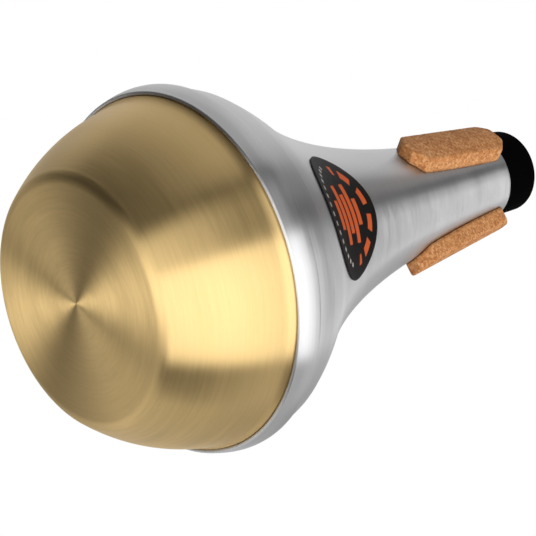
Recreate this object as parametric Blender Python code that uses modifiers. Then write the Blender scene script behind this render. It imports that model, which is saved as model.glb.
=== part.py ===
"""Straight mute for a trumpet.

The mute stands upright on its flat brass base. The origin is the centre of that base,
+Z runs along the turning axis towards the neck, and the round label faces -Y.
All lengths are in metres and all angles in radians.
"""
import math

import bmesh
import bpy
from mathutils import Matrix, Vector

# Sheet metal and turning
SHEET = 0.0008
GAP = 0.0003
TURN_STEPS = 60

# Brass base cup, from the flat disc to the skirt inside the body's bead
FLAT_RADIUS = 0.0322
ROLL_ROUND = 0.0046
ROLL_TURN = math.radians(55.0)
ROLL_POINTS = 5
BULGE_START_SLOPE = 0.80
BULGE_END_SLOPE = 0.20
BULGE_POINTS = 8
WAIST_RADIUS = 0.0488
WAIST_Z = 0.0293
FLANGE_RADIUS = 0.0497
FLANGE_Z = 0.0315
SKIRT_RADIUS = 0.0500
SKIRT_FOOT_Z = 0.0321
SKIRT_TOP_Z = 0.0365

# Aluminium body: bead, groove, band and shoulder
LIP_RADIUS = 0.0511
LIP_Z = 0.0320
BEAD_FOOT_RADIUS = 0.0520
BEAD_FOOT_Z = 0.0345
BEAD_RADIUS = 0.0523
BEAD_Z = 0.0367
BEAD_TOP_RADIUS = 0.0517
BEAD_TOP_Z = 0.0385
GROOVE_RADIUS = 0.0507
GROOVE_Z = 0.0393
BAND_RADIUS = 0.0510
BAND_Z = 0.0399
BAND_END_RADIUS = 0.0494
BAND_END_Z = 0.0466
BAND_START_SLOPE = -0.10
BAND_END_SLOPE = -0.33
BAND_POINTS = 3
SHOULDER_START_SLOPE = -0.50
SHOULDER_POINTS = 4

# Aluminium body: horn flare, where the radius falls away exponentially to the neck
FLARE_LIMIT_RADIUS = 0.0112
FLARE_SPAN = 0.0319
FLARE_START_Z = 0.0569
FLARE_LENGTH = 0.0436
FLARE_POINTS = 12
NECK_END_Z = 0.1670

# Three cork strips round the neck
CORK_COUNT = 3
CORK_FIRST_ANGLE = math.radians(-130.0)
CORK_HALF_WIDTH = 0.0066
CORK_FOOT_Z = 0.1215
CORK_TOP_Z = 0.1668
CORK_FOOT_CLIP = 0.0042
CORK_TOP_CLIP = 0.0034
CORK_CORNER_RADIUS = 0.0012
CORK_CORNER_POINTS = 3
CORK_FOOT_THICKNESS = 0.0046
CORK_TOP_THICKNESS = 0.0044
CORK_EDGE_BEVEL = 0.0005
CORK_BEVEL_ANGLE = math.radians(50.0)
CORK_PRISM_INNER = 0.0080
CORK_PRISM_OUTER = 0.0320
CUTTER_MARGIN = 0.0060
NECK_CUTTER_POINTS = 9

# Black ring plugged into the neck
BUMPER_RADIUS = 0.0134
BUMPER_LENGTH = 0.0133
BUMPER_BORE_RADIUS = 0.0085
BUMPER_SPIGOT_LENGTH = 0.0100
BUMPER_EDGE_ROUND = 0.0008

# Round label wrapped on the flare
LABEL_RADIUS = 0.0190
LABEL_HALF_WIDTH = 0.0181
LABEL_CENTRE_Z = 0.0723
LABEL_ANGLE = math.radians(-90.0)
LABEL_THICKNESS = 0.0003
LABEL_SEGMENTS = 48
LABEL_MARGIN_Z = 0.0030
LABEL_PROFILE_POINTS = 9
LABEL_PUNCH_DEPTH = 0.0300

# Finishes: colour, roughness and metallic value
BRASS = ("brushed_brass", (0.72, 0.56, 0.30), 0.28, 1.0)
ALUMINIUM = ("satin_aluminium", (0.72, 0.73, 0.75), 0.32, 1.0)
FOAM = ("black_foam", (0.012, 0.012, 0.012), 0.85, 0.0)
CORK = ("cork", (0.55, 0.30, 0.13), 0.85, 0.0)
LABEL_FILM = ("black_label", (0.03, 0.028, 0.028), 0.4, 0.0)

COLLECTION_NAME = "straight_mute"
CUTTER_COLLECTION_NAME = "cutters"
MERGE_DISTANCE = 0.00002


def remove_scene_objects():
    """Empty the open scene."""
    for scene_object in list(bpy.data.objects):
        bpy.data.objects.remove(scene_object, do_unlink=True)


def new_collection(name):
    """A collection linked to the scene."""
    collection = bpy.data.collections.new(name)
    bpy.context.scene.collection.children.link(collection)
    return collection


def principled(name, colour, roughness, metallic):
    """A plain finish with one colour, roughness and metallic value."""
    finish = bpy.data.materials.new(name)
    finish.use_nodes = True
    shader = finish.node_tree.nodes["Principled BSDF"]
    shader.inputs["Base Color"].default_value = (*colour, 1.0)
    shader.inputs["Roughness"].default_value = roughness
    shader.inputs["Metallic"].default_value = metallic
    finish.diffuse_color = (*colour, 1.0)
    finish.roughness = roughness
    finish.metallic = metallic
    return finish


def hermite(start, start_slope, end, end_slope, count):
    """Points (radius, z) of a cubic from start to end, whose slopes are radius per z."""
    span = end[1] - start[1]
    points = []
    for index in range(count):
        t = index / (count - 1)
        radius = (
            (2 * t**3 - 3 * t**2 + 1) * start[0]
            + (t**3 - 2 * t**2 + t) * span * start_slope
            + (3 * t**2 - 2 * t**3) * end[0]
            + (t**3 - t**2) * span * end_slope
        )
        points.append((radius, start[1] + span * t))
    return points


def flare_radius(z):
    """Outer radius of the horn flare at height z."""
    return FLARE_LIMIT_RADIUS + FLARE_SPAN * math.exp((FLARE_START_Z - z) / FLARE_LENGTH)


def flare_slope(z):
    """Change of the flare's radius with height."""
    return (FLARE_LIMIT_RADIUS - flare_radius(z)) / FLARE_LENGTH


def base_cup_profile():
    """Outer side of the brass cup, from the top of its skirt down to the disc's centre."""
    waist = (WAIST_RADIUS, WAIST_Z)
    roll = []
    for index in range(ROLL_POINTS):
        bend = ROLL_TURN * index / (ROLL_POINTS - 1)
        radius = FLAT_RADIUS + ROLL_ROUND * math.sin(bend)
        roll.append((radius, ROLL_ROUND * (1.0 - math.cos(bend))))
    bulge = hermite(roll[-1], BULGE_START_SLOPE, waist, BULGE_END_SLOPE, BULGE_POINTS)
    profile = [
        (SKIRT_RADIUS, SKIRT_TOP_Z),
        (SKIRT_RADIUS, SKIRT_FOOT_Z),
        (FLANGE_RADIUS, FLANGE_Z),
    ]
    profile += reversed(bulge)
    profile += list(reversed(roll))[1:]
    profile.append((0.0, 0.0))
    return profile


def body_shell_profile():
    """Outer side of the aluminium body, from the neck's end down to the lip round the cup."""
    flare_z = [
        NECK_END_Z + (FLARE_START_Z - NECK_END_Z) * index / (FLARE_POINTS - 1)
        for index in range(FLARE_POINTS)
    ]
    profile = [(flare_radius(z), z) for z in flare_z]
    shoulder = hermite(
        (BAND_END_RADIUS, BAND_END_Z),
        SHOULDER_START_SLOPE,
        (flare_radius(FLARE_START_Z), FLARE_START_Z),
        flare_slope(FLARE_START_Z),
        SHOULDER_POINTS,
    )
    band = hermite(
        (BAND_RADIUS, BAND_Z),
        BAND_START_SLOPE,
        (BAND_END_RADIUS, BAND_END_Z),
        BAND_END_SLOPE,
        BAND_POINTS,
    )
    profile += list(reversed(shoulder))[1:]
    profile += list(reversed(band))[1:]
    profile += [
        (GROOVE_RADIUS, GROOVE_Z),
        (BEAD_TOP_RADIUS, BEAD_TOP_Z),
        (BEAD_RADIUS, BEAD_Z),
        (BEAD_FOOT_RADIUS, BEAD_FOOT_Z),
        (LIP_RADIUS, LIP_Z),
    ]
    return profile


def turned(name, profile, closed, collection):
    """An object whose profile, given as (radius, z) points, is turned about the Z axis."""
    mesh = bpy.data.meshes.new(name)
    vertices = [(radius, 0.0, z) for radius, z in profile]
    edges = [(index, index + 1) for index in range(len(vertices) - 1)]
    if closed:
        edges.append((len(vertices) - 1, 0))
    mesh.from_pydata(vertices, edges, [])
    turned_object = bpy.data.objects.new(name, mesh)
    collection.objects.link(turned_object)
    screw = turned_object.modifiers.new("turn", "SCREW")
    screw.axis = "Z"
    screw.angle = 2 * math.pi
    screw.steps = TURN_STEPS
    screw.render_steps = TURN_STEPS
    screw.use_merge_vertices = True
    screw.merge_threshold = MERGE_DISTANCE
    screw.use_smooth_shade = True
    return turned_object


def give_wall(shell, thickness, offset):
    """Turn an open surface into a wall: offset -1 grows it inwards, 1 outwards."""
    solidify = shell.modifiers.new("wall", "SOLIDIFY")
    solidify.thickness = thickness
    solidify.offset = offset
    solidify.use_even_offset = True
    solidify.use_rim = True
    return solidify


def make_base_cup(parts):
    """Spun brass cup that closes the big end: flat disc, rolled edge, bulge and skirt."""
    cup = turned("base_cup", base_cup_profile(), False, parts)
    give_wall(cup, SHEET, -1.0)
    cup.data.materials.append(principled(*BRASS))
    return cup


def make_body_shell(parts):
    """Spun aluminium body: bead over the cup's skirt, shoulder, horn flare and open neck."""
    shell = turned("body_shell", body_shell_profile(), False, parts)
    give_wall(shell, SHEET, -1.0)
    shell.data.materials.append(principled(*ALUMINIUM))
    return shell


def make_end_bumper(parts):
    """Soft black ring on the neck's end, held by a spigot inside the neck."""
    foot_z = NECK_END_Z + GAP
    top_z = foot_z + BUMPER_LENGTH
    spigot_radius = flare_radius(NECK_END_Z) - SHEET - GAP
    profile = [
        (BUMPER_BORE_RADIUS + BUMPER_EDGE_ROUND, top_z),
        (BUMPER_RADIUS - BUMPER_EDGE_ROUND, top_z),
        (BUMPER_RADIUS, top_z - BUMPER_EDGE_ROUND),
        (BUMPER_RADIUS, foot_z),
        (spigot_radius, foot_z),
        (spigot_radius, foot_z - BUMPER_SPIGOT_LENGTH),
        (BUMPER_BORE_RADIUS, foot_z - BUMPER_SPIGOT_LENGTH),
        (BUMPER_BORE_RADIUS, top_z - BUMPER_EDGE_ROUND),
    ]
    bumper = turned("end_bumper", profile, True, parts)
    bumper.data.materials.append(principled(*FOAM))
    return bumper


def round_corner(before, corner, after, radius, count):
    """Points of the arc that replaces a corner of an outline."""
    to_before = (before - corner).normalized()
    to_after = (after - corner).normalized()
    half_angle = to_before.angle(to_after) / 2
    reach = radius / math.tan(half_angle)
    centre = corner + (to_before + to_after).normalized() * radius / math.sin(half_angle)
    first = corner + to_before * reach - centre
    last = corner + to_after * reach - centre
    first_angle = math.atan2(first.y, first.x)
    sweep = math.remainder(math.atan2(last.y, last.x) - first_angle, 2 * math.pi)
    points = []
    for index in range(count):
        angle = first_angle + sweep * index / (count - 1)
        points.append(centre + Vector((math.cos(angle), math.sin(angle))) * radius)
    return points


def cork_outline():
    """Outline of a cork strip laid flat: across the neck, then along it, corners clipped."""
    foot = CORK_FOOT_Z
    top = CORK_TOP_Z
    width = CORK_HALF_WIDTH
    corners = [
        Vector((-width + CORK_FOOT_CLIP, foot)),
        Vector((width - CORK_FOOT_CLIP, foot)),
        Vector((width, foot + CORK_FOOT_CLIP)),
        Vector((width, top - CORK_TOP_CLIP)),
        Vector((width - CORK_TOP_CLIP, top)),
        Vector((-width + CORK_TOP_CLIP, top)),
        Vector((-width, top - CORK_TOP_CLIP)),
        Vector((-width, foot + CORK_FOOT_CLIP)),
    ]
    outline = []
    for index, corner in enumerate(corners):
        before = corners[index - 1]
        after = corners[(index + 1) % len(corners)]
        outline += round_corner(before, corner, after, CORK_CORNER_RADIUS, CORK_CORNER_POINTS)
    return outline


def prism_from_outline(name, outline, inner, outer, angle, collection):
    """A solid whose outline, across and along the axis, is extruded outwards at an angle."""
    curve = bpy.data.curves.new(name, "CURVE")
    curve.dimensions = "2D"
    curve.fill_mode = "BOTH"
    curve.extrude = (outer - inner) / 2
    spline = curve.splines.new("POLY")
    spline.points.add(len(outline) - 1)
    for point, place in zip(spline.points, outline):
        point.co = (place[0], place[1], 0.0, 1.0)
    spline.use_cyclic_u = True
    outward = Vector((math.cos(angle), math.sin(angle), 0.0))
    across = Vector((-math.sin(angle), math.cos(angle), 0.0))
    along = Vector((0.0, 0.0, 1.0))
    frame = Matrix((across, along, outward)).transposed().to_4x4()
    frame.translation = outward * (inner + outer) / 2
    curve_object = bpy.data.objects.new(name, curve)
    curve_object.matrix_world = frame
    collection.objects.link(curve_object)
    bpy.context.view_layer.update()
    evaluated = curve_object.evaluated_get(bpy.context.evaluated_depsgraph_get())
    mesh = bpy.data.meshes.new_from_object(evaluated)
    bpy.data.objects.remove(curve_object, do_unlink=True)
    bpy.data.curves.remove(curve)
    welded = bmesh.new()
    welded.from_mesh(mesh)
    bmesh.ops.remove_doubles(welded, verts=welded.verts, dist=MERGE_DISTANCE)
    bmesh.ops.recalc_face_normals(welded, faces=welded.faces)
    welded.to_mesh(mesh)
    welded.free()
    mesh.name = name
    prism = bpy.data.objects.new(name, mesh)
    prism.matrix_world = frame
    collection.objects.link(prism)
    return prism


def hide_cutter(cutter):
    """Keep a cutter out of the finished model."""
    cutter.hide_render = True
    cutter.display_type = "WIRE"


def cut(target, cutter, operation):
    """Boolean the target with a cutter."""
    boolean = target.modifiers.new(operation.lower(), "BOOLEAN")
    boolean.operation = operation
    boolean.solver = "EXACT"
    boolean.object = cutter


def make_neck_cutter(cutters):
    """Solid core with the neck's outer shape and the clearance of the cork's glue line."""
    low_z = CORK_FOOT_Z - CUTTER_MARGIN
    high_z = CORK_TOP_Z + CUTTER_MARGIN
    profile = [(0.0, high_z)]
    for index in range(NECK_CUTTER_POINTS):
        z = high_z + (low_z - high_z) * index / (NECK_CUTTER_POINTS - 1)
        profile.append((flare_radius(z) + GAP, z))
    profile.append((0.0, low_z))
    cutter = turned("neck_cutter", profile, False, cutters)
    hide_cutter(cutter)
    return cutter


def make_cork_envelope(cutters):
    """Solid cone that the corks' outer faces lie on."""
    foot_radius = flare_radius(CORK_FOOT_Z) + CORK_FOOT_THICKNESS
    top_radius = flare_radius(CORK_TOP_Z) + CORK_TOP_THICKNESS
    taper = (top_radius - foot_radius) / (CORK_TOP_Z - CORK_FOOT_Z)
    profile = [
        (0.0, CORK_TOP_Z + CUTTER_MARGIN),
        (top_radius + taper * CUTTER_MARGIN, CORK_TOP_Z + CUTTER_MARGIN),
        (foot_radius - taper * CUTTER_MARGIN, CORK_FOOT_Z - CUTTER_MARGIN),
        (0.0, CORK_FOOT_Z - CUTTER_MARGIN),
    ]
    envelope = turned("cork_envelope", profile, False, cutters)
    hide_cutter(envelope)
    return envelope


def make_cork_strips(parts, cutters):
    """Tapered cork strips glued to the neck, evenly spaced, which hold the mute in the bell."""
    neck = make_neck_cutter(cutters)
    envelope = make_cork_envelope(cutters)
    cork = principled(*CORK)
    strips = []
    for index in range(CORK_COUNT):
        angle = CORK_FIRST_ANGLE + 2 * math.pi * index / CORK_COUNT
        name = "cork_strip_%d" % (index + 1)
        strip = prism_from_outline(
            name, cork_outline(), CORK_PRISM_INNER, CORK_PRISM_OUTER, angle, parts
        )
        cut(strip, envelope, "INTERSECT")
        cut(strip, neck, "DIFFERENCE")
        bevel = strip.modifiers.new("worn_edges", "BEVEL")
        bevel.width = CORK_EDGE_BEVEL
        bevel.segments = 1
        bevel.limit_method = "ANGLE"
        bevel.angle_limit = CORK_BEVEL_ANGLE
        strip.data.materials.append(cork)
        strips.append(strip)
    return strips


def make_label(parts, cutters):
    """Thin round label that follows the flare."""
    low_z = LABEL_CENTRE_Z - LABEL_RADIUS - LABEL_MARGIN_Z
    high_z = LABEL_CENTRE_Z + LABEL_RADIUS + LABEL_MARGIN_Z
    profile = []
    for index in range(LABEL_PROFILE_POINTS):
        z = high_z + (low_z - high_z) * index / (LABEL_PROFILE_POINTS - 1)
        profile.append((flare_radius(z) + GAP, z))
    label = turned("label", profile, False, parts)
    give_wall(label, LABEL_THICKNESS, 1.0)

    # The punch stands on the flare's surface normal at the label's centre.
    tilt = math.atan(-flare_slope(LABEL_CENTRE_Z))
    outward = Vector((math.cos(LABEL_ANGLE), math.sin(LABEL_ANGLE), 0.0))
    across = Vector((-math.sin(LABEL_ANGLE), math.cos(LABEL_ANGLE), 0.0))
    upright = Vector((0.0, 0.0, 1.0))
    normal = outward * math.cos(tilt) + upright * math.sin(tilt)
    along = normal.cross(across)
    centre = outward * flare_radius(LABEL_CENTRE_Z) + upright * LABEL_CENTRE_Z
    mesh = bpy.data.meshes.new("label_punch")
    punch_mesh = bmesh.new()
    bmesh.ops.create_cone(
        punch_mesh,
        cap_ends=True,
        segments=LABEL_SEGMENTS,
        radius1=1.0,
        radius2=1.0,
        depth=1.0,
    )
    size = Matrix.Diagonal((LABEL_HALF_WIDTH, LABEL_RADIUS, LABEL_PUNCH_DEPTH, 1.0))
    frame = Matrix((across, along, normal)).transposed().to_4x4()
    frame.translation = centre
    bmesh.ops.transform(punch_mesh, matrix=frame @ size, verts=punch_mesh.verts)
    bmesh.ops.recalc_face_normals(punch_mesh, faces=punch_mesh.faces)
    punch_mesh.to_mesh(mesh)
    punch_mesh.free()
    punch = bpy.data.objects.new("label_punch", mesh)
    cutters.objects.link(punch)
    hide_cutter(punch)
    cut(label, punch, "INTERSECT")
    label.data.materials.append(principled(*LABEL_FILM))
    return label


def build():
    """Make the whole mute."""
    remove_scene_objects()
    parts = new_collection(COLLECTION_NAME)
    cutters = new_collection(CUTTER_COLLECTION_NAME)
    make_base_cup(parts)
    make_body_shell(parts)
    make_end_bumper(parts)
    make_cork_strips(parts, cutters)
    make_label(parts, cutters)


build()
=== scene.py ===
import math

import bpy
import numpy as np
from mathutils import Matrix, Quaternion, Vector


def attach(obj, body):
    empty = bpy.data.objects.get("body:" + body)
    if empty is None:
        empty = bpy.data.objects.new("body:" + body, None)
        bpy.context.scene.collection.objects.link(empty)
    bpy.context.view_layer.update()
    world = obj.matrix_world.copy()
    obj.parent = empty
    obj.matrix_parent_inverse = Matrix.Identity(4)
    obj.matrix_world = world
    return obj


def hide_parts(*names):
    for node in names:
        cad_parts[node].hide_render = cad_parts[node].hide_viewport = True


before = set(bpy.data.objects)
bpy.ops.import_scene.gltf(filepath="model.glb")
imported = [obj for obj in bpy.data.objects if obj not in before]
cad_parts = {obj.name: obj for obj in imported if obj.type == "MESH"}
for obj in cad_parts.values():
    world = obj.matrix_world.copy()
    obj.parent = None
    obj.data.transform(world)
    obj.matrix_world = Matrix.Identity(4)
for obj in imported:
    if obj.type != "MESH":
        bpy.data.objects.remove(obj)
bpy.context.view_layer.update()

# Turning and sheet, in metres
TURN_STEPS = 256
SHEET = 0.0008
GAP = 0.0003
SHEET_EDGE_ROUND = 0.00025

# Brass cup
FLAT_RADIUS = 0.0322
ROLL_ROUND = 0.0046
ROLL_TURN = math.radians(55.0)
BULGE_START_SLOPE = 0.80
BULGE_END_SLOPE = 0.20
WAIST = (0.0488, 0.0293)
FLANGE = (0.0499, 0.0317)
FLANGE_SLOPE = 0.75
FLANGE_ROUND = 0.00015
SKIRT_RADIUS = 0.0500
SKIRT_FOOT_RISE = 0.0004
SKIRT_TOP_Z = 0.0364

# Aluminium body: lip, bead, groove, band and shoulder
LIP_MIDDLE = (0.0507, 0.0325)
LIP_ROUND = 0.0006
BEAD = [
    (0.0513, 0.0325),
    (0.0519, 0.0345),
    (0.0522, 0.0360),
    (0.0523, 0.0372),
    (0.0522, 0.0384),
    (0.0519, 0.0391),
    (0.0511, 0.0395),
]
BEAD_TOP_INSET = 0.0012
BAND_START = (0.0511, 0.0398)
BAND_END = (0.0494, 0.0466)
BAND_START_SLOPE = -0.10
BAND_END_SLOPE = -0.33
SHOULDER_START_SLOPE = -0.50

# Aluminium body: horn flare
FLARE_LIMIT_RADIUS = 0.0112
FLARE_SPAN = 0.0319
FLARE_START_Z = 0.0569
FLARE_LENGTH = 0.0436
NECK_END_Z = 0.1670

# Cork strips
CORK_COUNT = 3
CORK_FIRST_ANGLE = math.radians(-130.0)
CORK_HALF_WIDTH = 0.0066
CORK_FOOT_Z = 0.1215
CORK_TOP_Z = 0.1668
CORK_FOOT_CLIP = 0.0042
CORK_TOP_CLIP = 0.0034
CORK_CORNER_ROUND = 0.0012
CORK_FOOT_THICKNESS = 0.0046
CORK_TOP_THICKNESS = 0.0044
CORK_EDGE_ROUND = 0.0007
CORK_WEAR = 0.00009
CORK_WEAR_LENGTH = 0.0022
CORK_OUTLINE_POINTS = 240
CORK_FACE_ROWS = 16
CORK_EDGE_ROWS = 7
CORK_BACK_ROWS = 6

# Black end ring
BUMPER_RADIUS = 0.0134
BUMPER_TOP_Z = 0.1806
BUMPER_BORE_RADIUS = 0.0085
BUMPER_SPIGOT_LENGTH = 0.0100
BUMPER_EDGE_ROUND = 0.0009
BUMPER_CORNER_ROUND = 0.0003
BUMPER_NOOK_ROUND = 0.0001

# Label
LABEL_RADIUS = 0.0190
LABEL_HALF_WIDTH = 0.0181
LABEL_CENTRE_Z = 0.0723
LABEL_ANGLE = math.radians(-90.0)
LABEL_THICKNESS = 0.0003
LABEL_STEPS = 160
LABEL_FRONT_RINGS = 30
LABEL_BACK_RINGS = 12
LABEL_SMALLEST_RING = 0.03

# Print on the label: sizes as shares of its half size, dashes and dots as counts in a full turn
PRINT_RING = 0.74
# An edge gives the distances from a shape's middle where it starts to fade and where it ends
PRINT_RING_EDGE = (0.070, 0.085)
PRINT_DASHES = 11.0
PRINT_ARC = 0.80
PRINT_ARC_EDGE = (0.022, 0.038)
PRINT_DOTS = 34.0
PRINT_BAR_EDGE = (0.065, 0.080)
# Each bar: its place along the label and its half length
PRINT_BARS = [(0.36, 0.20), (0.16, 0.46), (-0.04, 0.30), (-0.24, 0.46), (-0.44, 0.22)]

# Brushed metal: noise steps per metre across the grooves, and the radius of the noise's round path
BRUSH_LINES = 1100.0
BRUSH_PATH_RADIUS = 2.2
# Scale of the broad bands against the fine lines, and the roughness both metals share
BRUSH_BANDS = 0.16
METAL_ROUGHNESS = 0.375

# Other patterns: noise or cell scales per metre
CORK_CLOUDS = 230.0
CORK_SCUFFS = 620.0
CORK_PATCHES = 900.0
CORK_GRANULES = 1500.0
CORK_SPECKS = 2300.0
FOAM_PORES = 2600.0
FILM_GRAIN = 900.0
FLOOR_CLOUDS = 3.0

# Floor
FLOOR_Z = -0.0002
FLOOR_HALF_SIZE = 3.0
FLOOR_GLOW = 0.32

# Camera: the point it looks at, and where it stands round that point
CAMERA_AIM = Vector((0.0066, 0.0, 0.0677))
CAMERA_DISTANCE = 0.4924
CAMERA_AZIMUTH = -88.52
CAMERA_ELEVATION = -41.33
CAMERA_ROLL = 72.02
CAMERA_SENSOR = 36.0
CAMERA_LENS = 114.2

# Studio light by direction: azimuth from the camera's side and elevation, both in degrees.
# Each patch is laid over the ones before it.
ROOM_LEVEL = 0.60
STUDIO_PATCHES = [
    # what it is, azimuth, elevation, half width, half height, soft edge, level
    ("ceiling", 0.0, 80.0, 180.0, 25.0, 12.0, 0.12),
    ("backdrop", -165.0, 50.0, 42.0, 22.0, 12.0, 1.00),
    ("left wall", -95.0, 36.0, 45.0, 28.0, 12.0, 0.92),
    ("right wall", 122.0, 42.0, 28.0, 24.0, 8.0, 0.38),
    ("right wall front", 92.0, 35.0, 13.0, 25.0, 6.0, 0.85),
    ("side shade", -74.0, -33.0, 39.0, 32.0, 6.0, 0.01),
    ("back shade", -162.0, -32.0, 24.0, 30.0, 8.0, 0.25),
    ("low side shade", -130.0, -36.0, 22.0, 30.0, 6.0, 0.01),
    ("back right wall", 158.0, -34.0, 14.0, 15.0, 6.0, 1.05),
    ("table", 0.0, -90.0, 180.0, 17.0, 5.0, 1.70),
    ("table shade", -100.0, -78.0, 50.0, 9.0, 5.0, 0.40),
    ("low front box", 10.0, -60.0, 55.0, 12.0, 7.0, 1.35),
    ("low back box", 177.0, -72.0, 34.0, 8.5, 4.0, 3.60),
    ("right gap", 86.0, -33.0, 15.0, 27.0, 3.0, 0.01),
    ("right gap foot", 108.0, -54.0, 12.0, 8.0, 4.0, 0.03),
    ("left gap", -3.0, 38.0, 19.0, 48.0, 5.0, 0.02),
    ("left gap foot", -27.0, 14.0, 14.0, 22.0, 5.0, 0.02),
    ("key top", 46.0, 33.0, 30.0, 13.0, 6.0, 0.52),
    ("key lower corner", -15.0, -38.0, 18.0, 15.0, 5.0, 1.50),
    ("key box", 34.0, -10.0, 35.0, 33.0, 3.0, 2.25),
]


class Value:
    """A shader socket that takes part in sums; each operator adds one Math node."""

    def __init__(self, graph, socket):
        self.graph = graph
        self.socket = socket

    def math(self, operation, *others):
        return self.graph.node("ShaderNodeMath", {"operation": operation}, [self, *others])

    def __add__(self, other):
        return self.math("ADD", other)

    __radd__ = __add__

    def __mul__(self, other):
        return self.math("MULTIPLY", other)

    __rmul__ = __mul__

    def __sub__(self, other):
        return self.math("SUBTRACT", other)

    def __rsub__(self, other):
        return self.graph.node("ShaderNodeMath", {"operation": "SUBTRACT"}, [other, self])

    def __truediv__(self, other):
        return self.math("DIVIDE", other)

    def __rtruediv__(self, other):
        return self.graph.node("ShaderNodeMath", {"operation": "DIVIDE"}, [other, self])

    def __pow__(self, other):
        return self.math("POWER", other)

    def magnitude(self):
        return self.math("ABSOLUTE")

    def larger(self, other):
        return self.math("MAXIMUM", other)

    def smaller(self, other):
        return self.math("MINIMUM", other)

    def rise(self, start, end):
        """0 below start, 1 above end, and a smooth rise between them."""
        settings = {"interpolation_type": "SMOOTHSTEP"}
        return self.graph.node("ShaderNodeMapRange", settings, [self, start, end, 0.0, 1.0])


# The Mix node's colour sockets by place, because its float and vector sockets share their names
MIX_FIRST_COLOUR = 6
MIX_SECOND_COLOUR = 7
MIX_COLOUR_RESULT = 2


class Graph:
    """A node tree, with one method that makes any of its nodes."""

    def __init__(self, tree):
        self.tree = tree

    def node(self, kind, settings=None, sockets=None, output=0):
        """A node of a kind, its settings made first and then its sockets set or linked."""
        made = self.tree.nodes.new(kind)
        for key, value in (settings or {}).items():
            if key == "stops":
                self.set_stops(made.color_ramp, value)
            else:
                setattr(made, key, value)
        pairs = sockets.items() if isinstance(sockets, dict) else enumerate(sockets or [])
        for key, value in pairs:
            self.feed(made.inputs[key], value)
        return Value(self, made.outputs[output])

    def feed(self, socket, value):
        """Link a value to a socket, or set the socket to a constant."""
        if isinstance(value, Value):
            self.tree.links.new(value.socket, socket)
        else:
            socket.default_value = value

    def set_stops(self, ramp, stops):
        """Give a colour ramp its stops: (position, colour) pairs."""
        while len(ramp.elements) < len(stops):
            ramp.elements.new(1.0)
        for element, (position, colour) in zip(ramp.elements, stops):
            element.position = position
            element.color = colour

    def split(self, vector):
        """The three parts of a vector."""
        parts = self.tree.nodes.new("ShaderNodeSeparateXYZ")
        self.feed(parts.inputs[0], vector)
        return [Value(self, part) for part in parts.outputs]

    def join(self, x, y, z):
        """A vector from three values."""
        return self.node("ShaderNodeCombineXYZ", None, [x, y, z])

    def coordinates(self, name="Object"):
        """A texture coordinate."""
        return self.node("ShaderNodeTexCoord", output=name)

    def noise(self, vector, scale, detail=3.0, roughness=0.5):
        """Noise from 0 to 1 over a vector."""
        sockets = {"Vector": vector, "Scale": scale, "Detail": detail, "Roughness": roughness}
        return self.node("ShaderNodeTexNoise", None, sockets, "Fac")

    def blend(self, factor, first, second):
        """A colour between two colours."""
        sockets = {"Factor": factor, MIX_FIRST_COLOUR: first, MIX_SECOND_COLOUR: second}
        return self.node("ShaderNodeMix", {"data_type": "RGBA"}, sockets, MIX_COLOUR_RESULT)


class Finish(Graph):
    """A material, its Principled shader and the maths that feeds it."""

    def __init__(self, name, **constants):
        self.material = bpy.data.materials.new(name)
        self.material.use_nodes = True
        super().__init__(self.material.node_tree)
        self.shader = self.tree.nodes["Principled BSDF"]
        self.output = self.tree.nodes["Material Output"]
        for socket, value in constants.items():
            self.shader.inputs[socket.replace("_", " ")].default_value = value

    def use(self, socket, value):
        """Feed one of the Principled shader's own sockets."""
        self.feed(self.shader.inputs[socket], value)

    def bump(self, height, distance, strength):
        """Feed the shader's normal from a height."""
        sockets = {"Height": height, "Distance": distance, "Strength": strength}
        self.use("Normal", self.node("ShaderNodeBump", None, sockets, "Normal"))


def rgb(red, green, blue):
    """An sRGB colour from 0 to 255 as a linear colour with full alpha."""
    shares = np.array([red, green, blue]) / 255.0
    linear = np.where(shares <= 0.04045, shares / 12.92, ((shares + 0.055) / 1.055) ** 2.4)
    return (*linear.tolist(), 1.0)


def brushed_finish(name, dark, light, roughness):
    """Spun metal: grooves run round the axis, so noise is fine along the profile, long round it."""
    finish = Finish(name, Metallic=1.0, Anisotropic=0.95, Anisotropic_Rotation=0.25)
    x, y, z = finish.split(finish.coordinates())
    radius = ((x * x + y * y) ** 0.5).larger(0.0004)
    around = finish.join(
        x / radius * BRUSH_PATH_RADIUS, y / radius * BRUSH_PATH_RADIUS, radius * BRUSH_LINES
    )
    place = {"Vector": around, "W": z * BRUSH_LINES}
    settings = {"noise_dimensions": "4D"}
    grooves = {**place, "Scale": 1.0, "Detail": 4.0, "Roughness": 0.68}
    streak = finish.node("ShaderNodeTexNoise", settings, grooves, "Fac")
    broad = {**place, "Scale": BRUSH_BANDS, "Detail": 2.0, "Roughness": 0.5}
    band = finish.node("ShaderNodeTexNoise", settings, broad, "Fac")
    tone = (streak * 0.65 + band * 0.35).rise(0.30, 0.70)
    finish.use("Base Color", finish.blend(tone, dark, light))
    finish.use("Roughness", (streak - 0.5) * 0.16 + (band - 0.5) * 0.08 + roughness)
    finish.bump(streak, 0.00002, 0.35)
    return finish.material


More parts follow.
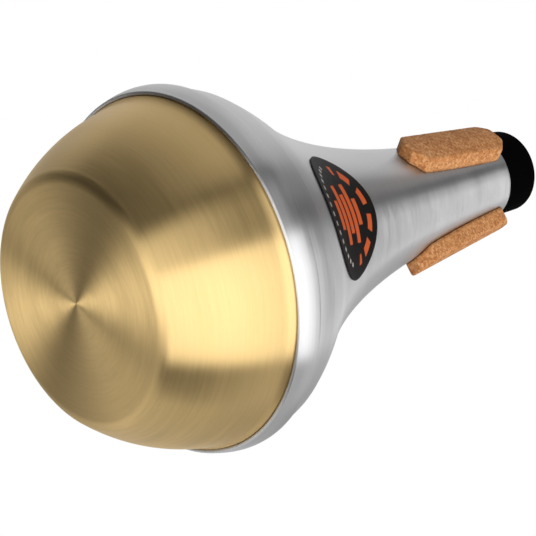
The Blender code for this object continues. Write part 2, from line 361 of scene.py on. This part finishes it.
def cork_finish():
    """Pressed cork: fine granules of mixed tan, cloudy patches, pale scuffs and dark specks."""
    finish = Finish("pressed_cork", Specular_IOR_Level=0.30)
    place = finish.coordinates()
    cloud = finish.noise(place, CORK_CLOUDS, 3.0)
    patch = finish.noise(place, CORK_PATCHES, 3.0)
    cells = {"Vector": place, "Scale": CORK_GRANULES, "Randomness": 1.0}
    grain = finish.node("ShaderNodeTexVoronoi", None, cells, "Color")
    shade = finish.split(grain)[0]
    edge = finish.node("ShaderNodeTexVoronoi", {"feature": "DISTANCE_TO_EDGE"}, cells, "Distance")
    stops = [
        (0.25, rgb(152, 94, 52)),
        (0.42, rgb(188, 124, 72)),
        (0.58, rgb(208, 147, 92)),
        (0.75, rgb(228, 176, 126)),
    ]
    mixed = shade * 0.32 + patch * 0.34 + cloud * 0.34
    granules = finish.node("ShaderNodeValToRGB", {"stops": stops}, [mixed])
    scuff = finish.noise(place, CORK_SCUFFS, 4.0, 0.65).rise(0.58, 0.72)
    worn = finish.blend(scuff * 0.30, granules, rgb(224, 192, 160))
    # Painted shade: where the patches are strong, the edges between granules are darkened like shade
    # in the gaps. The dark specks are the cork's own colour.
    gap_shade = (1.0 - edge.rise(0.0, 0.10)) * patch.rise(0.48, 0.62)
    speck = finish.noise(place, CORK_SPECKS, 3.0).rise(0.62, 0.70)
    dark = (gap_shade * 0.35 + speck * 0.50).smaller(1.0)
    finish.use("Base Color", finish.blend(dark, worn, rgb(112, 66, 38)))
    finish.use("Roughness", patch * 0.15 + 0.75)
    finish.bump((1.0 - dark) + patch * 0.6, 0.00012, 0.6)
    return finish.material


def foam_finish():
    """Black closed-cell foam rubber with fine pores."""
    finish = Finish("black_foam", Specular_IOR_Level=0.02)
    place = finish.coordinates()
    pores = finish.noise(place, FOAM_PORES, 2.0)
    finish.use("Base Color", finish.blend(pores.rise(0.35, 0.7), rgb(1, 1, 1), rgb(5, 5, 5)))
    finish.use("Roughness", pores * 0.1 + 0.85)
    finish.bump(pores, 0.00008, 0.5)
    return finish.material


def label_finish():
    """Printed black film: a dashed orange arc, stacked orange bars and a pale dotted arc."""
    finish = Finish("printed_film", Specular_IOR_Level=0.10)
    u, v, _ = finish.split(finish.coordinates("UV"))
    across = u * 2.0 - 1.0
    along = v * 2.0 - 1.0
    reach = (across * across + along * along) ** 0.5
    turn = finish.node("ShaderNodeMath", {"operation": "ARCTAN2"}, [along, across])
    ring = 1.0 - (reach - PRINT_RING).magnitude().rise(*PRINT_RING_EDGE)
    dashes = (turn * PRINT_DASHES).math("SINE").rise(-0.45, -0.30)
    orange = ring * dashes * along.rise(0.12, 0.16)
    for offset, half_length in PRINT_BARS:
        height = 1.0 - (along - offset).magnitude().rise(*PRINT_BAR_EDGE)
        length = 1.0 - across.magnitude().rise(half_length, half_length + 0.02)
        orange = orange.larger(height * length)
    dots = (turn * PRINT_DOTS).math("SINE").rise(-0.2, 0.2)
    arc = (1.0 - (reach - PRINT_ARC).magnitude().rise(*PRINT_ARC_EDGE)) * dots
    pale = arc * (-1.0 * along).rise(0.14, 0.18)
    grain = finish.noise(finish.coordinates(), FILM_GRAIN, 2.0)
    film = finish.blend(grain, rgb(14, 13, 13), rgb(24, 22, 22))
    printed = finish.blend(orange, film, rgb(205, 92, 46))
    finish.use("Base Color", finish.blend(pale, printed, rgb(176, 173, 168)))
    finish.use("Roughness", grain * 0.1 + 0.50)
    finish.bump(grain, 0.00001, 0.2)
    return finish.material


def mesh_piece(name, points, quads, triangles, material):
    """A smooth mesh object from points and faces, with one material."""
    mesh = bpy.data.meshes.new(name)
    corners = np.concatenate([quads.ravel(), triangles.ravel()]).astype(np.int32)
    sizes = np.concatenate([np.full(len(quads), 4), np.full(len(triangles), 3)])
    starts = np.concatenate([[0], np.cumsum(sizes)[:-1]])
    mesh.vertices.add(len(points))
    mesh.vertices.foreach_set("co", points.astype(np.float32).ravel())
    mesh.loops.add(len(corners))
    mesh.loops.foreach_set("vertex_index", corners)
    mesh.polygons.add(len(sizes))
    mesh.polygons.foreach_set("loop_start", starts.astype(np.int32))
    mesh.polygons.foreach_set("use_smooth", np.ones(len(sizes), bool))
    mesh.update(calc_edges=True)
    mesh.validate()
    mesh.materials.append(material)
    piece = bpy.data.objects.new(name, mesh)
    bpy.context.scene.collection.objects.link(piece)
    return piece


def grid_quads(rows, columns, close_rows):
    """Faces of a grid that is closed across its columns, and across its rows if asked."""
    row = np.arange(rows if close_rows else rows - 1)[:, None]
    column = np.arange(columns)[None, :]
    next_row = (row + 1) % rows
    next_column = (column + 1) % columns
    faces = np.stack(
        np.broadcast_arrays(
            row * columns + column,
            row * columns + next_column,
            next_row * columns + next_column,
            next_row * columns + column,
        ),
        axis=-1,
    )
    return faces.reshape(-1, 4)


def turned(name, profile, material, closed):
    """A profile of (radius, z) turned about Z: (r cos a, r sin a, z) for every angle a.

    A closed profile is a ring's section. An open one starts and ends on the axis, where a fan of
    triangles closes the pole.
    """
    angles = np.linspace(0.0, 2.0 * np.pi, TURN_STEPS, endpoint=False)
    rings = profile if closed else profile[1:-1]
    radius = rings[:, :1]
    points = np.stack(
        [radius * np.cos(angles), radius * np.sin(angles), np.repeat(rings[:, 1:], TURN_STEPS, 1)],
        axis=-1,
    ).reshape(-1, 3)
    quads = grid_quads(len(rings), TURN_STEPS, closed)
    triangles = np.zeros((0, 3), int)
    if not closed:
        first_pole = len(points)
        last_pole = first_pole + 1
        poles = np.array([[0.0, 0.0, profile[0, 1]], [0.0, 0.0, profile[-1, 1]]])
        points = np.concatenate([points, poles])
        here = np.arange(TURN_STEPS)
        after = (here + 1) % TURN_STEPS
        last_ring = (len(rings) - 1) * TURN_STEPS
        first_fan = np.stack([np.full(TURN_STEPS, first_pole), after, here], axis=1)
        last_fan = np.stack(
            [np.full(TURN_STEPS, last_pole), here + last_ring, after + last_ring], axis=1
        )
        triangles = np.concatenate([first_fan, last_fan])
    return mesh_piece(name, points, quads, triangles, material)


def arc_corner(before, corner, after, radius, steps=7):
    """The arc that replaces a corner: it starts and ends radius / tan(half the corner) from it."""
    before, corner, after = (np.array(p, float) for p in (before, corner, after))
    back = (before - corner) / np.linalg.norm(before - corner)
    ahead = (after - corner) / np.linalg.norm(after - corner)
    half = math.acos(float(np.clip(back @ ahead, -1.0, 1.0))) / 2.0
    reach = radius / math.tan(half)
    middle = (back + ahead) / np.linalg.norm(back + ahead)
    centre = corner + middle * radius / math.sin(half)
    first = corner + back * reach - centre
    last = corner + ahead * reach - centre
    start = math.atan2(first[1], first[0])
    sweep = math.remainder(math.atan2(last[1], last[0]) - start, 2.0 * math.pi)
    angle = start + sweep * np.linspace(0.0, 1.0, steps)
    return centre + radius * np.stack([np.cos(angle), np.sin(angle)], axis=1)


def cubic(start, start_slope, end, end_slope, count):
    """Cubic from start to end over z, whose slopes are radius per z."""
    t = np.linspace(0.0, 1.0, count)
    span = end[1] - start[1]
    radius = (
        (2 * t**3 - 3 * t**2 + 1) * start[0]
        + (t**3 - 2 * t**2 + t) * span * start_slope
        + (3 * t**2 - 2 * t**3) * end[0]
        + (t**3 - t**2) * span * end_slope
    )
    return np.stack([radius, start[1] + span * t], axis=1)


def through(points, count):
    """Smooth curve through points: each stretch is the cubic whose ends run along the neighbours."""
    p = np.array(points, float)
    p = np.concatenate([[2 * p[0] - p[1]], p, [2 * p[-1] - p[-2]]])
    t = np.linspace(0.0, 1.0, count, endpoint=False)[None, :, None]
    a, b, c, d = (p[i : len(p) - 3 + i, None, :] for i in range(4))
    curve = 0.5 * (
        2 * b + (c - a) * t + (2 * a - 5 * b + 4 * c - d) * t**2 + (3 * b - a - 3 * c + d) * t**3
    )
    return np.concatenate([curve.reshape(-1, 2), p[-2:-1]])


def flare_radius(z):
    """Outer radius of the flare: a limit plus a span that falls away exponentially with z."""
    return FLARE_LIMIT_RADIUS + FLARE_SPAN * np.exp((FLARE_START_Z - z) / FLARE_LENGTH)


def flare_slope(z):
    """Change of the flare's radius with z."""
    return (FLARE_LIMIT_RADIUS - flare_radius(z)) / FLARE_LENGTH


def inside_of(profile, thickness):
    """The outer profile, run upwards, moved inwards by a thickness square to its own direction."""
    step = np.gradient(profile, axis=0)
    step /= np.linalg.norm(step, axis=1)[:, None]
    return profile + np.stack([-step[:, 1], step[:, 0]], axis=1) * thickness


def closed_patch(name, grid, material):
    """Rows of rings, from the middle of the outer face over its edge to the middle of its back.

    Each ring runs anticlockwise seen from outside. A fan of triangles closes each end.
    """
    rows, columns = grid.shape[:2]
    middles = np.stack([grid[0].mean(axis=0), grid[-1].mean(axis=0)])
    points = np.concatenate([grid.reshape(-1, 3), middles])
    front_middle = rows * columns
    back_middle = front_middle + 1
    here = np.arange(columns)
    after = (here + 1) % columns
    last_ring = (rows - 1) * columns
    front = np.stack([np.full(columns, front_middle), here, after], axis=1)
    back = np.stack([np.full(columns, back_middle), after + last_ring, here + last_ring], axis=1)
    quads = grid_quads(rows, columns, False)[:, ::-1]
    return mesh_piece(name, points, quads, np.concatenate([front, back]), material)


def make_brass_cup(material):
    """Brass cup: flat disc, roll, bulge, flange and skirt, then its inner side.

    The roll is an arc that leaves the disc without an edge. It turns a little steeper than the
    bulge's foot, and that crease is the ring that parts the two.
    """
    disc = np.stack([np.linspace(0.0, FLAT_RADIUS, 24), np.zeros(24)], axis=1)
    bend = ROLL_TURN * np.linspace(0.0, 1.0, 25)[1:]
    roll = np.stack(
        [FLAT_RADIUS + ROLL_ROUND * np.sin(bend), ROLL_ROUND * (1.0 - np.cos(bend))], axis=1
    )
    bulge = cubic(roll[-1], BULGE_START_SLOPE, WAIST, BULGE_END_SLOPE, 48)[1:]
    flange = cubic(WAIST, BULGE_END_SLOPE, FLANGE, FLANGE_SLOPE, 12)
    skirt_foot = (SKIRT_RADIUS, FLANGE[1] + SKIRT_FOOT_RISE)
    skirt_top = (SKIRT_RADIUS, SKIRT_TOP_Z)
    outer = np.concatenate(
        [
            disc,
            roll,
            bulge,
            flange[1:-2],
            arc_corner(flange[-2], FLANGE, skirt_foot, FLANGE_ROUND, 5),
            np.array([skirt_foot, skirt_top]),
        ]
    )
    inner = np.concatenate(
        [
            [(SKIRT_RADIUS - SHEET, SKIRT_TOP_Z), (SKIRT_RADIUS - SHEET, FLANGE[1] + SHEET)],
            inside_of(bulge[2:-4:3], SHEET)[::-1],
            inside_of(roll[2::4], SHEET)[::-1],
            [(FLAT_RADIUS, SHEET), (0.0, SHEET)],
        ]
    )
    return turned("brass_cup", np.concatenate([outer, inner]), material, False)


def make_aluminium_body(material):
    """Aluminium body: bead, groove, band, shoulder and flare, then its inner side and round lip."""
    shoulder_end = (float(flare_radius(FLARE_START_Z)), FLARE_START_Z)
    end_slope = float(flare_slope(FLARE_START_Z))
    flare_z = np.linspace(FLARE_START_Z, NECK_END_Z - SHEET_EDGE_ROUND, 110)[1:]
    bead = through(BEAD, 10)
    band = cubic(BAND_START, BAND_START_SLOPE, BAND_END, BAND_END_SLOPE, 16)
    shoulder = cubic(BAND_END, SHOULDER_START_SLOPE, shoulder_end, end_slope, 18)
    flare = np.stack([flare_radius(flare_z), flare_z], axis=1)
    end_radius = float(flare_radius(NECK_END_Z))
    rim = [
        (end_radius - SHEET_EDGE_ROUND, NECK_END_Z),
        (end_radius - SHEET + SHEET_EDGE_ROUND, NECK_END_Z),
        (end_radius - SHEET, NECK_END_Z - SHEET_EDGE_ROUND),
    ]
    inner_horn = inside_of(np.concatenate([band[6::5], shoulder[3::3], flare[::4]]), SHEET)
    inner_bead = [
        (BEAD[4][0] - BEAD_TOP_INSET, BEAD[4][1]),
        (BEAD[3][0] - SHEET, BEAD[3][1]),
        (BEAD[1][0] - SHEET, BEAD[1][1]),
    ]
    bend = np.linspace(-np.pi, 0.0, 14, endpoint=False)
    lip = LIP_MIDDLE + LIP_ROUND * np.stack([np.cos(bend), np.sin(bend)], axis=1)
    outer = [bead, band, shoulder[1:], flare, rim]
    inner = [inner_horn[::-1], inner_bead, lip]
    return turned("aluminium_body", np.concatenate(outer + inner), material, True)


def make_end_ring(material):
    """Soft end ring: a rounded collar on the neck's end and a spigot inside it."""
    foot = NECK_END_Z + GAP
    spigot_radius = float(flare_radius(NECK_END_Z)) - SHEET - GAP
    spigot_foot = foot - BUMPER_SPIGOT_LENGTH
    corners = [
        ((BUMPER_BORE_RADIUS, BUMPER_TOP_Z), BUMPER_EDGE_ROUND),
        ((BUMPER_BORE_RADIUS, spigot_foot), BUMPER_CORNER_ROUND),
        ((spigot_radius, spigot_foot), BUMPER_CORNER_ROUND),
        ((spigot_radius, foot), BUMPER_NOOK_ROUND),
        ((BUMPER_RADIUS, foot), BUMPER_CORNER_ROUND),
        ((BUMPER_RADIUS, BUMPER_TOP_Z), BUMPER_EDGE_ROUND),
    ]
    places = [corner for corner, _ in corners]
    arcs = [
        arc_corner(places[i - 1], places[i], places[(i + 1) % len(places)], corners[i][1], 8)
        for i in range(len(corners))
    ]
    return turned("end_ring", np.concatenate(arcs), material, True)


def cork_outline():
    """Outline of a strip laid flat, (across, along), with clipped and rounded corners."""
    width, foot, top = CORK_HALF_WIDTH, CORK_FOOT_Z, CORK_TOP_Z
    corners = [
        (-width + CORK_FOOT_CLIP, foot),
        (width - CORK_FOOT_CLIP, foot),
        (width, foot + CORK_FOOT_CLIP),
        (width, top - CORK_TOP_CLIP),
        (width - CORK_TOP_CLIP, top),
        (-width + CORK_TOP_CLIP, top),
        (-width, top - CORK_TOP_CLIP),
        (-width, foot + CORK_FOOT_CLIP),
    ]
    count = len(corners)
    arcs = [
        arc_corner(corners[i - 1], corners[i], corners[(i + 1) % count], CORK_CORNER_ROUND, 8)
        for i in range(count)
    ]
    return evenly(np.concatenate(arcs), CORK_OUTLINE_POINTS)


def evenly(outline, count):
    """Points at even distances along a closed outline."""
    closed = np.concatenate([outline, outline[:1]])
    length = np.concatenate([[0.0], np.cumsum(np.linalg.norm(np.diff(closed, axis=0), axis=1))])
    at = np.linspace(0.0, length[-1], count, endpoint=False)
    return np.stack([np.interp(at, length, closed[:, i]) for i in range(2)], axis=1)


def ripple(points, wavelength, seed):
    """Uneven surface from -1 to 1: the mean of plane waves in fixed random directions."""
    generator = np.random.default_rng(seed)
    directions = generator.normal(size=(14, 3))
    directions /= np.linalg.norm(directions, axis=1)[:, None]
    phases = generator.uniform(0.0, 2.0 * np.pi, 14)
    lengths = wavelength * generator.uniform(0.6, 1.8, 14)
    waves = np.sin(points @ (directions / lengths[:, None] * 2.0 * np.pi).T + phases)
    return waves.mean(axis=-1) * 2.0


def make_cork_strip(number, material):
    """A cork strip: its outline shrunk towards its middle line, on an outer cone and on the neck.

    Each row of the grid is the outline at a share of its spread, at a height between the neck (0)
    and the cone (1), and the rows between the faces follow a quarter circle round the edge.
    """
    outline = cork_outline()
    spine_z = np.clip(outline[:, 1], CORK_FOOT_Z + CORK_HALF_WIDTH, CORK_TOP_Z - CORK_HALF_WIDTH)
    spine = np.stack([np.zeros(len(outline)), spine_z], axis=1)
    spread = outline - spine
    rounded = spread * (1.0 - CORK_EDGE_ROUND / np.linalg.norm(spread, axis=1)[:, None])
    bend = np.linspace(0.0, np.pi / 2.0, CORK_EDGE_ROWS)[:, None, None]
    face = np.linspace(0.03, 0.95, CORK_FACE_ROWS)[:, None, None]
    side = np.array([0.75, 0.5, 0.25, 0.0])[:, None]
    back = np.linspace(0.9, 0.05, CORK_BACK_ROWS)[:, None, None]
    edge = rounded + (spread - rounded) * np.sin(bend)
    rows = [rounded * face, edge, np.repeat(spread[None], len(side), axis=0), spread * back]
    outer_rows = CORK_FACE_ROWS + CORK_EDGE_ROWS
    height = np.concatenate([np.ones((outer_rows, 1)), side, np.zeros((CORK_BACK_ROWS, 1))])
    drop = np.zeros((len(height), 1))
    drop[CORK_FACE_ROWS:outer_rows, 0] = CORK_EDGE_ROUND * (1.0 - np.cos(bend[:, 0, 0]))
    flat = spine + np.concatenate(rows)
    across = flat[..., 0]
    along = flat[..., 1]
    foot_radius = float(flare_radius(CORK_FOOT_Z)) + CORK_FOOT_THICKNESS
    top_radius = float(flare_radius(CORK_TOP_Z)) + CORK_TOP_THICKNESS
    travel = (along - CORK_FOOT_Z) / (CORK_TOP_Z - CORK_FOOT_Z)
    cone = foot_radius + (top_radius - foot_radius) * travel
    outer_depth = np.sqrt(cone**2 - across**2) - drop
    inner_depth = np.sqrt((flare_radius(along) + GAP) ** 2 - across**2)
    depth = inner_depth + (outer_depth - inner_depth) * height
    place = np.stack([depth, across, along], axis=-1)
    wear = np.abs(ripple(place, CORK_WEAR_LENGTH, number))
    wear += np.abs(ripple(place, CORK_WEAR_LENGTH / 3.0, number + CORK_COUNT)) / 2.0
    depth = depth - wear * CORK_WEAR * height
    angle = CORK_FIRST_ANGLE + 2.0 * math.pi * (number - 1) / CORK_COUNT
    x = depth * math.cos(angle) - across * math.sin(angle)
    y = depth * math.sin(angle) + across * math.cos(angle)
    return closed_patch("cork_%d" % number, np.stack([x, y, along], axis=-1), material)


def label_point(across, along):
    """Point of the flare, and its unit normal, at a distance across and along the label's plane.

    The plane touches the flare at the label's centre. The height z is found by repeated steps, so
    that the point's distance along that plane is the one asked for.
    """
    slope = float(flare_slope(LABEL_CENTRE_Z))
    tilt = math.atan(-slope)
    outward = np.array([math.cos(LABEL_ANGLE), math.sin(LABEL_ANGLE), 0.0])
    sideways = np.array([-math.sin(LABEL_ANGLE), math.cos(LABEL_ANGLE), 0.0])
    upright = np.array([0.0, 0.0, 1.0])
    uphill = upright * math.cos(tilt) - outward * math.sin(tilt)
    centre = outward * float(flare_radius(LABEL_CENTRE_Z)) + upright * LABEL_CENTRE_Z
    z = LABEL_CENTRE_Z + along * math.cos(tilt)
    for _ in range(20):
        radius = flare_radius(z) + GAP
        depth = np.sqrt(radius**2 - across**2)
        found = (depth - centre @ outward) * (uphill @ outward) + (z - LABEL_CENTRE_Z) * uphill[2]
        z = z + (along - found) * math.cos(tilt)
    radius = flare_radius(z) + GAP
    depth = np.sqrt(radius**2 - across**2)
    point = depth[..., None] * outward + across[..., None] * sideways + z[..., None] * upright
    flat = depth[..., None] * outward + across[..., None] * sideways
    normal = flat / radius[..., None] - flare_slope(z)[..., None] * upright
    return point, normal / np.linalg.norm(normal, axis=-1, keepdims=True)


def make_label(material):
    """Film label: rings of an ellipse laid on the flare, on its outer face and on its back."""
    angle = np.linspace(0.0, 2.0 * np.pi, LABEL_STEPS, endpoint=False)
    front = np.linspace(LABEL_SMALLEST_RING, 1.0, LABEL_FRONT_RINGS)
    back = np.linspace(1.0, LABEL_SMALLEST_RING, LABEL_BACK_RINGS)
    share = np.concatenate([front, back])[:, None]
    lift = np.concatenate([np.full(len(front), LABEL_THICKNESS), np.zeros(len(back))])
    lift = lift[:, None, None]
    circle = np.stack([share * np.cos(angle), share * np.sin(angle)], axis=-1)
    place, normal = label_point(circle[..., 0] * LABEL_HALF_WIDTH, circle[..., 1] * LABEL_RADIUS)
    label = closed_patch("label_film", place + normal * lift, material)
    flat = np.concatenate([circle.reshape(-1, 2), np.zeros((2, 2))])
    layer = label.data.uv_layers.new(name="face")
    corner = np.zeros(len(label.data.loops), np.int32)
    label.data.loops.foreach_get("vertex_index", corner)
    layer.data.foreach_set("uv", ((flat[corner] + 1.0) / 2.0).astype(np.float32).ravel())
    return label


def make_floor():
    """Plain pale floor under the base, which shows only to a camera above it.

    Its own glow makes it pale for that camera. No other ray meets it, so it lights nothing.
    """
    mesh = bpy.data.meshes.new("floor")
    low, half = FLOOR_Z, FLOOR_HALF_SIZE
    corners = [(-half, -half, low), (half, -half, low), (half, half, low), (-half, half, low)]
    mesh.from_pydata(corners, [], [(0, 1, 2, 3)])
    constants = {"Roughness": 0.9, "Specular_IOR_Level": 0.1, "Emission_Strength": FLOOR_GLOW}
    finish = Finish("pale_floor", **constants)
    finish.use("Emission Color", (1.0, 1.0, 1.0, 1.0))
    tone = finish.noise(finish.coordinates(), FLOOR_CLOUDS, 2.0)
    finish.use("Base Color", finish.blend(tone, rgb(240, 240, 240), rgb(246, 246, 246)))
    seen = finish.node("ShaderNodeLightPath", output="Is Camera Ray")
    behind = finish.node("ShaderNodeNewGeometry", output="Backfacing")
    clear = finish.node("ShaderNodeBsdfTransparent")
    pale = Value(finish, finish.shader.outputs[0])
    shown = finish.node("ShaderNodeMixShader", None, [seen * (1.0 - behind), clear, pale])
    finish.feed(finish.output.inputs["Surface"], shown)
    mesh.materials.append(finish.material)
    floor = bpy.data.objects.new("floor", mesh)
    bpy.context.scene.collection.objects.link(floor)


def studio_patch(graph, direction, azimuth, elevation, half_width, half_height, soft):
    """1 inside a patch of the studio and 0 outside it: a window in azimuth times one in elevation."""
    turn = math.radians(CAMERA_AZIMUTH + azimuth)
    x, y, z = direction
    ahead = x * math.cos(turn) + y * math.sin(turn)
    aside = y * math.cos(turn) - x * math.sin(turn)
    swing = graph.node("ShaderNodeMath", {"operation": "ARCTAN2"}, [aside, ahead]).magnitude()
    lift = (z.math("ARCSINE") - math.radians(elevation)).magnitude()
    wide = swing.rise(math.radians(half_width - soft), math.radians(half_width + soft))
    high = lift.rise(math.radians(half_height - soft), math.radians(half_height + soft))
    return (1.0 - wide) * (1.0 - high)


def make_world():
    """Studio light by direction. A camera sees plain white, and metal sees the white backdrop."""
    world = bpy.data.worlds.new("studio")
    world.use_nodes = True
    graph = Graph(world.node_tree)
    direction = graph.split(graph.coordinates("Generated"))
    level = ROOM_LEVEL
    for name, azimuth, elevation, half_width, half_height, soft, patch_level in STUDIO_PATCHES:
        mask = studio_patch(graph, direction, azimuth, elevation, half_width, half_height, soft)
        level = mask * patch_level + (1.0 - mask) * level
        if name == "backdrop":
            backdrop = mask
    ray = {
        name: graph.node("ShaderNodeLightPath", output="Is %s Ray" % name)
        for name in ("Camera", "Glossy", "Transmission")
    }
    white = ray["Camera"].larger((ray["Glossy"] + ray["Transmission"]) * backdrop)
    shown = level * (1.0 - white) + white
    background = graph.tree.nodes["Background"]
    graph.feed(background.inputs["Color"], (1.0, 1.0, 1.0, 1.0))
    graph.feed(background.inputs["Strength"], shown)
    bpy.context.scene.world = world


def make_camera():
    """Camera round the point it looks at, rolled about its own line of sight."""
    turn = math.radians(CAMERA_AZIMUTH)
    rise = math.radians(CAMERA_ELEVATION)
    flat = math.cos(rise)
    outward = Vector((flat * math.cos(turn), flat * math.sin(turn), math.sin(rise)))
    level_turn = (-outward).to_track_quat("-Z", "Y")
    rolled_turn = level_turn @ Quaternion((0.0, 0.0, 1.0), math.radians(CAMERA_ROLL))
    camera = bpy.data.objects.new("camera", bpy.data.cameras.new("camera"))
    camera.data.sensor_width = CAMERA_SENSOR
    camera.data.lens = CAMERA_LENS
    camera.data.clip_start = 0.01
    camera.matrix_world = rolled_turn.to_matrix().to_4x4()
    camera.matrix_world.translation = CAMERA_AIM + outward * CAMERA_DISTANCE
    bpy.context.scene.collection.objects.link(camera)
    bpy.context.scene.camera = camera


def dress(piece, node):
    """Let a piece stand for a CAD node on the mute's one body."""
    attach(piece, "root")
    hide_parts(node)


make_camera()
make_world()
make_floor()

brass_tones = (rgb(214, 184, 126), rgb(232, 200, 140))
aluminium_tones = (rgb(209, 209, 210), rgb(217, 217, 218))
brass = brushed_finish("brushed_brass", *brass_tones, METAL_ROUGHNESS)
aluminium = brushed_finish("brushed_aluminium", *aluminium_tones, METAL_ROUGHNESS)
cork = cork_finish()
dress(make_brass_cup(brass), "base_cup")
dress(make_aluminium_body(aluminium), "body_shell")
end_ring = make_end_ring(foam_finish())
dress(end_ring, "end_bumper")
for cork_number in range(1, CORK_COUNT + 1):
    dress(make_cork_strip(cork_number, cork), "cork_strip_%d" % cork_number)
dress(make_label(label_finish()), "label")

bpy.context.scene.view_settings.view_transform = "Standard"
